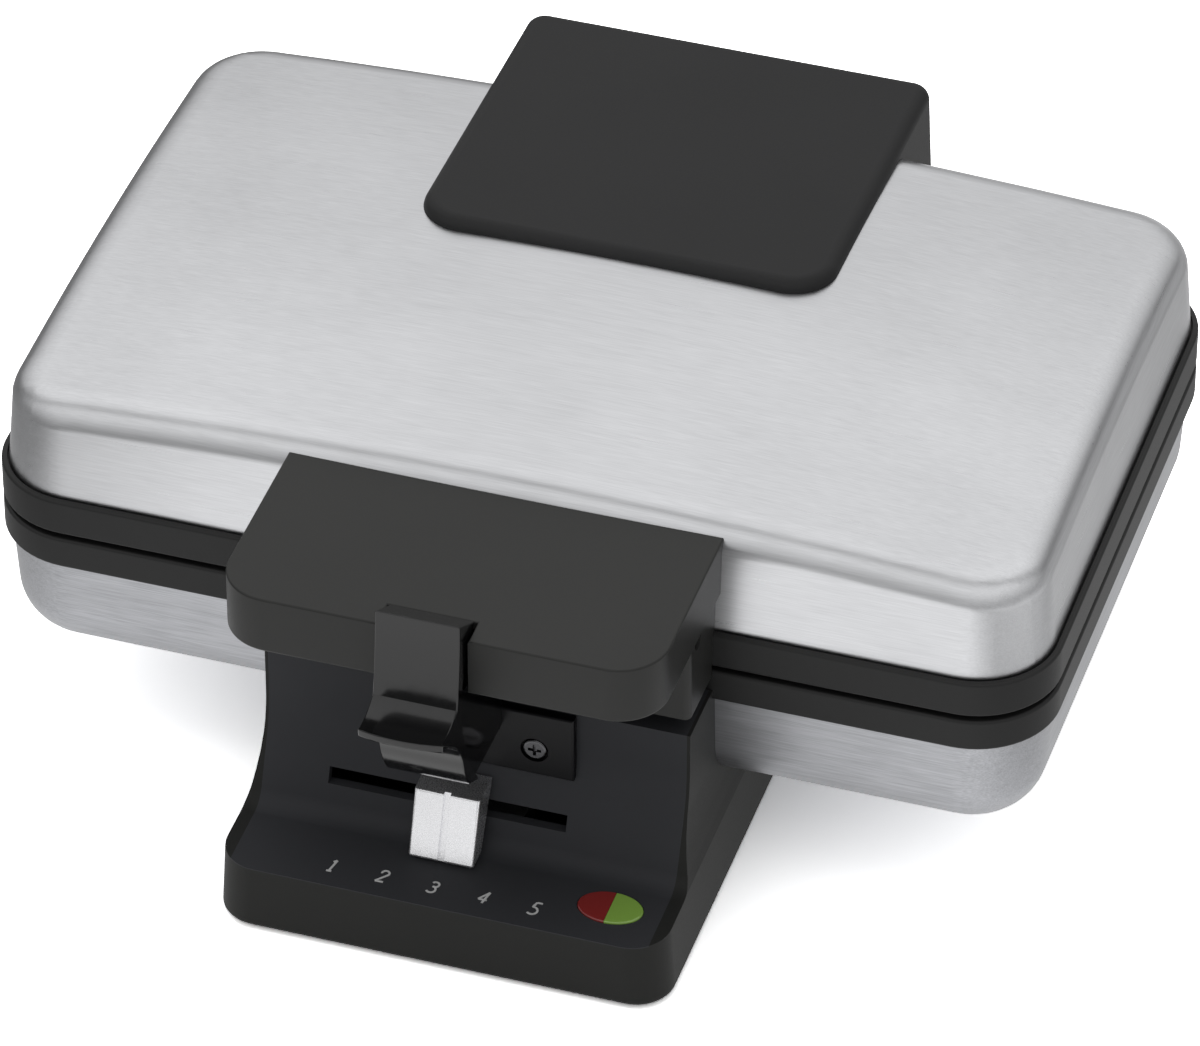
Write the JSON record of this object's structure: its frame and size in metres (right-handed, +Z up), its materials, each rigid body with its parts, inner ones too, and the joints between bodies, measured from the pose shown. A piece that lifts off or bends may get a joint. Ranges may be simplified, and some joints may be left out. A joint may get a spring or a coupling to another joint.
{
  "type": "pizzelle maker",
  "caption": "Countertop pizzelle maker: hinged steel lid over twin round cast moulds, front handle with latch, sliding heat control on a black foot.",
  "frame": {"origin": "middle of the bounding box on the table surface that the rubber feet stand on", "axes": "+Z up, +X to the right seen from the front, the handle and control face -Y, the hinge is at +Y"},
  "size_m": [0.3, 0.2914, 0.1272],
  "materials": {
    "black_plastic": "fine satin grain",
    "cover_plastic": "fine satin grain",
    "rim_plastic": "satin",
    "latch_plastic": "polished",
    "inner_plastic": "satin",
    "lid_steel": "brushed from left to right",
    "shell_steel": "brushed from left to right",
    "plate_aluminium": "cast, dark non-stick coat",
    "heater_steel": "matte oxide",
    "reflector_sheet": "rolled",
    "screw_steel": "zinc plated",
    "spring_steel": "drawn wire",
    "fuse_metal": "plated",
    "knob_silver": "silver satin",
    "catch_black": "black satin",
    "print_grey": "printed ink",
    "lens_red": "translucent",
    "lens_green": "translucent",
    "lamp_plastic": "clear",
    "board_green": "satin",
    "ceramic": "unglazed",
    "foot_rubber": "matte",
    "gland_rubber": "matte"
  },
  "bodies": {
    "base": {"base_housing": "black_plastic", "bottom_cover": "black_plastic", "bottom_screws": "screw_steel", "rubber_feet": "foot_rubber", "body_screws": "screw_steel", "lower_shell": "shell_steel", "lower_rim": "rim_plastic", "lower_plate": "plate_aluminium", "lower_plate_screws": "screw_steel", "lower_element": "heater_steel", "lower_reflector": "reflector_sheet", "thermostat": "ceramic", "slider_rods": "screw_steel", "scale_numbers": "print_grey", "lens_red": "lens_red", "lens_green": "lens_green", "lamp_board": "board_green", "lamps": "lamp_plastic", "cord_gland": "gland_rubber", "terminal_block": "ceramic", "hinge_pins": "screw_steel", "catch_plate": "catch_black", "catch_screws": "screw_steel"},
    "lid": {"lid_shell": "lid_steel", "upper_rim": "rim_plastic", "upper_plate": "plate_aluminium", "upper_plate_screws": "screw_steel", "upper_element": "heater_steel", "upper_reflector": "reflector_sheet", "thermal_fuse": "fuse_metal", "handle_grip": "black_plastic", "handle_base": "black_plastic", "handle_screws": "screw_steel", "grip_screws": "screw_steel", "rear_cover": "cover_plastic", "rear_cover_screws": "screw_steel", "latch_pin": "screw_steel", "latch_spring": "spring_steel"},
    "latch": {"latch_lever": "latch_plastic"},
    "slider": {"slider_carriage": "inner_plastic", "slider_knob": "knob_silver"},
    "control_pin": {"thermostat_pin": "screw_steel"}
  },
  "joints": [
    {"name": "lid_hinge", "type": "hinge", "parent": "base", "child": "lid", "pos_m": [0, 0.13317, 0.078], "axis": [-1, 0, 0], "range_deg": [0, 105]},
    {"name": "latch_pivot", "type": "hinge", "parent": "lid", "child": "latch", "pos_m": [-0.0024, -0.08203, 0.0956], "axis": [-1, 0, 0], "range_deg": [0, 12], "stiffness_Nm_per_rad": 0.5, "springref_deg": -11.46},
    {"name": "heat_slide", "type": "slide", "parent": "base", "child": "slider", "axis": [1, 0, 0], "range_m": [-0.0275, 0.0292]},
    {"name": "control_pin_slide", "type": "slide", "parent": "base", "child": "control_pin", "axis": [0, 0, 1], "range_m": [-0.0024, 0.0023]}
  ],
  "couplings": [
    {"joint": "control_pin_slide", "follows": "heat_slide", "ratio": -0.08}
  ]
}
